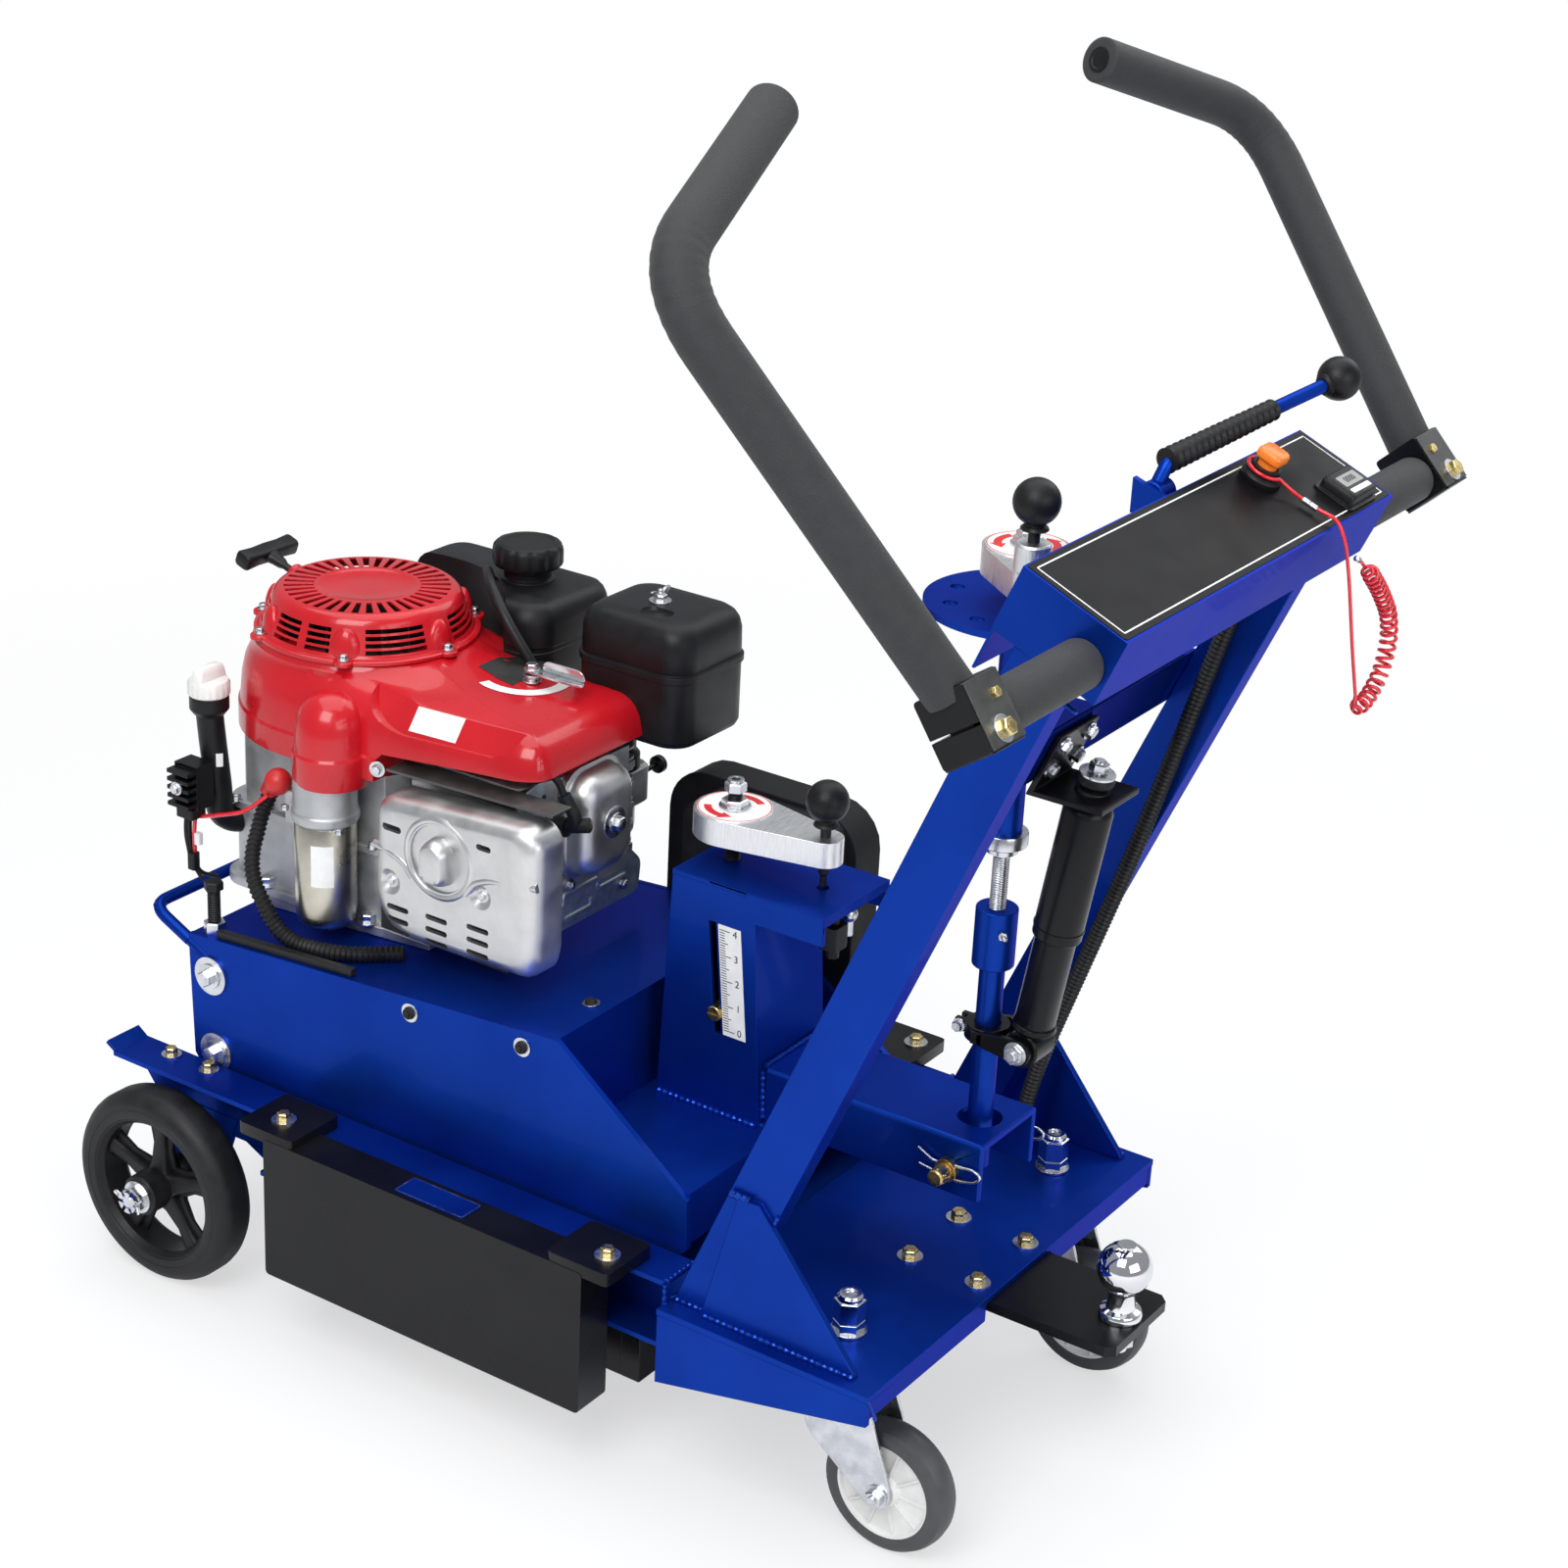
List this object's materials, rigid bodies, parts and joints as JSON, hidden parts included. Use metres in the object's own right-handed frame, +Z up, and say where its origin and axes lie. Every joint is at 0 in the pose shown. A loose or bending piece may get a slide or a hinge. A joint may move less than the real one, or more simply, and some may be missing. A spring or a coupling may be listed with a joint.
{
  "type": "walk-behind pavement line grinder",
  "caption": "Walk-behind surface grinder for removing pavement lines: wheeled frame, tilting drum carriage with engine, screw depth control with damper, foam handlebars and control panel.",
  "frame": {"origin": "on the floor under the centre of the machine's bounding box, the free cord left out", "axes": "+Z up, +Y the way the machine travels with the engine end leading, +X the operator's right"},
  "size_m": [1.0182, 1.1196, 1.2917],
  "materials": {
    "blue_paint": "gloss metallic",
    "black_paint": "gloss",
    "black_iron": "gloss paint",
    "zinc": "zinc plated",
    "alloy": "cast",
    "pressed_steel": "stamped, bright",
    "red_cover": "gloss paint",
    "black_plastic": "moulded",
    "black_rubber": "ribbed",
    "foam": "soft foam",
    "tyre": "moulded tread",
    "caster_tyre": "grey",
    "white_plastic": "moulded",
    "orange_plastic": "moulded",
    "red_cord": "gloss",
    "brass": "plated"
  },
  "bodies": {
    "frame": {"rear_plate": "blue_paint", "left_rail": "blue_paint", "right_rail": "blue_paint", "left_upright": "blue_paint", "right_upright": "blue_paint", "cross_member": "blue_paint", "index_tube": "blue_paint", "panel_tray": "blue_paint", "handle_crossbar": "foam", "left_weight": "black_iron", "right_weight": "black_iron", "hitch_plate": "black_paint", "hitch_ball": "zinc", "damper_bracket": "black_paint", "kill_switch": "black_plastic", "hour_meter": "black_plastic", "upright_conduit": "black_rubber", "lanyard": "red_cord"},
    "carriage": {"drum_housing": "blue_paint", "tower": "blue_paint", "lift_arm": "blue_paint", "engine_block": "alloy", "engine_shroud": "red_cover", "fan_cover": "red_cover", "fuel_tank": "black_plastic", "air_filter": "black_plastic", "muffler": "pressed_steel", "rocker_cover": "pressed_steel", "starter_motor": "pressed_steel", "oil_tube": "black_plastic", "regulator": "black_plastic", "belt_guard": "black_plastic", "starter_conduit": "black_rubber"},
    "drum": {"cutter_drum": "zinc"},
    "left_front_wheel": {"left_wheel": "tyre"},
    "right_front_wheel": {"right_wheel": "tyre"},
    "left_swivel_fork": {"left_fork": "zinc"},
    "right_swivel_fork": {"right_fork": "zinc"},
    "left_caster_wheel": {"left_caster": "caster_tyre"},
    "right_caster_wheel": {"right_caster": "caster_tyre"},
    "depth_handle": {"depth_crank": "alloy"},
    "depth_pin": {"depth_plunger": "black_plastic"},
    "pressure_handle": {"pressure_crank": "alloy"},
    "pressure_pin": {"pressure_plunger": "black_plastic"},
    "pointer": {"pressure_pointer": "brass"},
    "lift_column": {"lift_tube": "blue_paint", "damper_clamp": "black_paint"},
    "damper_top": {"damper_upper": "black_paint"},
    "damper_bottom": {"damper_lower": "black_paint"},
    "left_handle": {"left_handlebar": "foam"},
    "right_handle": {"right_handlebar": "foam"},
    "lever": {"engage_lever": "blue_paint", "lever_boot": "black_rubber"},
    "stop_button": {"kill_button": "orange_plastic"},
    "pull_grip": {"recoil_grip": "black_plastic"},
    "throttle": {"throttle_lever": "zinc"},
    "tank_cap": {"fuel_cap": "black_plastic"},
    "filler_cap": {"oil_cap": "white_plastic"},
    "arm_pin": {"transport_pin": "zinc"}
  },
  "joints": [
    {"name": "depth_turn", "type": "hinge", "parent": "frame", "child": "depth_handle", "pos_m": [0.00022, -0.33224, 0.858], "axis": [0, 0, 1], "range_deg": [-725, 725]},
    {"name": "depth_plunge", "type": "slide", "parent": "depth_handle", "child": "depth_pin", "axis": [0, 0, 1], "range_m": [-0.01, 0]},
    {"name": "carriage_tilt", "type": "hinge", "parent": "frame", "child": "carriage", "pos_m": [0.00022, 0.40876, 0.19], "axis": [1, 0, 0], "range_deg": [-0.95, 0.95]},
    {"name": "lift_slide", "type": "slide", "parent": "frame", "child": "lift_column", "axis": [0, 0, 1], "range_m": [-0.012, 0.012]},
    {"name": "damper_swing", "type": "hinge", "parent": "frame", "child": "damper_top", "pos_m": [0.00022, -0.41524, 0.69], "axis": [1, 0, 0], "range_deg": [-0.5, 0.5]},
    {"name": "damper_slide", "type": "slide", "parent": "damper_top", "child": "damper_bottom", "axis": [0, -0.1521, 0.9884], "range_m": [-0.0122, 0.0122]},
    {"name": "drum_spin", "type": "hinge", "parent": "carriage", "child": "drum", "pos_m": [0.00022, 0.09476, 0.092], "axis": [1, 0, 0], "continuous": true},
    {"name": "left_wheel_spin", "type": "hinge", "parent": "frame", "child": "left_front_wheel", "pos_m": [-0.24978, 0.44176, 0.1016], "axis": [1, 0, 0], "continuous": true},
    {"name": "right_wheel_spin", "type": "hinge", "parent": "frame", "child": "right_front_wheel", "pos_m": [0.25022, 0.44176, 0.1016], "axis": [1, 0, 0], "continuous": true},
    {"name": "left_swivel", "type": "hinge", "parent": "frame", "child": "left_swivel_fork", "pos_m": [-0.17978, -0.31724, 0.194], "axis": [0, 0, 1], "continuous": true},
    {"name": "right_swivel", "type": "hinge", "parent": "frame", "child": "right_swivel_fork", "pos_m": [0.18022, -0.31724, 0.194], "axis": [0, 0, 1], "continuous": true},
    {"name": "left_caster_spin", "type": "hinge", "parent": "left_swivel_fork", "child": "left_caster_wheel", "pos_m": [-0.17978, -0.37124, 0.0635], "axis": [1, 0, 0], "continuous": true},
    {"name": "right_caster_spin", "type": "hinge", "parent": "right_swivel_fork", "child": "right_caster_wheel", "pos_m": [0.18022, -0.37124, 0.0635], "axis": [1, 0, 0], "continuous": true},
    {"name": "left_handle_turn", "type": "hinge", "parent": "frame", "child": "left_handle", "pos_m": [-0.39378, -0.51424, 0.893], "axis": [1, 0, 0], "range_deg": [-25, 25]},
    {"name": "right_handle_turn", "type": "hinge", "parent": "frame", "child": "right_handle", "pos_m": [0.39422, -0.51424, 0.893], "axis": [1, 0, 0], "range_deg": [-25, 25]},
    {"name": "lever_swing", "type": "hinge", "parent": "frame", "child": "lever", "pos_m": [0.01422, -0.43924, 0.949], "axis": [1, 0, 0], "range_deg": [-35, 10]},
    {"name": "pressure_turn", "type": "hinge", "parent": "carriage", "child": "pressure_handle", "pos_m": [0.00022, -0.05124, 0.54], "axis": [0, 0, 1], "range_deg": [-720, 3600]},
    {"name": "pressure_plunge", "type": "slide", "parent": "pressure_handle", "child": "pressure_pin", "axis": [0, 0, 1], "range_m": [-0.01, 0]},
    {"name": "pointer_slide", "type": "slide", "parent": "carriage", "child": "pointer", "axis": [0, 0.0995, 0.995], "range_m": [-0.0163, 0.081]},
    {"name": "kill_press", "type": "slide", "parent": "frame", "child": "stop_button", "axis": [0, -0.3903, 0.9207], "range_m": [-0.004, 0], "stiffness_N_per_m": 500},
    {"name": "recoil_pull", "type": "slide", "parent": "carriage", "child": "pull_grip", "axis": [0, 0.9397, 0.3419], "range_m": [0, 0.045]},
    {"name": "throttle_turn", "type": "hinge", "parent": "carriage", "child": "throttle", "pos_m": [0.02022, 0.20276, 0.617], "axis": [0, 0, 1], "range_deg": [-40, 30]},
    {"name": "fuel_cap_turn", "type": "hinge", "parent": "carriage", "child": "tank_cap", "pos_m": [0.13822, 0.30276, 0.69], "axis": [0, 0, 1], "range_deg": [0, 120]},
    {"name": "oil_cap_turn", "type": "hinge", "parent": "carriage", "child": "filler_cap", "pos_m": [-0.12178, 0.48876, 0.58], "axis": [0, 0, 1], "range_deg": [0, 120]},
    {"name": "transport_pin_pull", "type": "slide", "parent": "carriage", "child": "arm_pin", "axis": [1, 0, 0], "range_m": [-0.09, 0]}
  ],
  "couplings": [
    {"joint": "depth_turn", "follows": "lift_slide", "rad_per_m": 1047.2},
    {"joint": "carriage_tilt", "follows": "lift_slide", "rad_per_m": -1.3495},
    {"joint": "damper_swing", "follows": "lift_slide", "rad_per_m": 0.578},
    {"joint": "damper_slide", "follows": "lift_slide", "ratio": 0.98837},
    {"joint": "pointer_slide", "follows": "pressure_turn", "m_per_rad": 0.0012796}
  ]
}
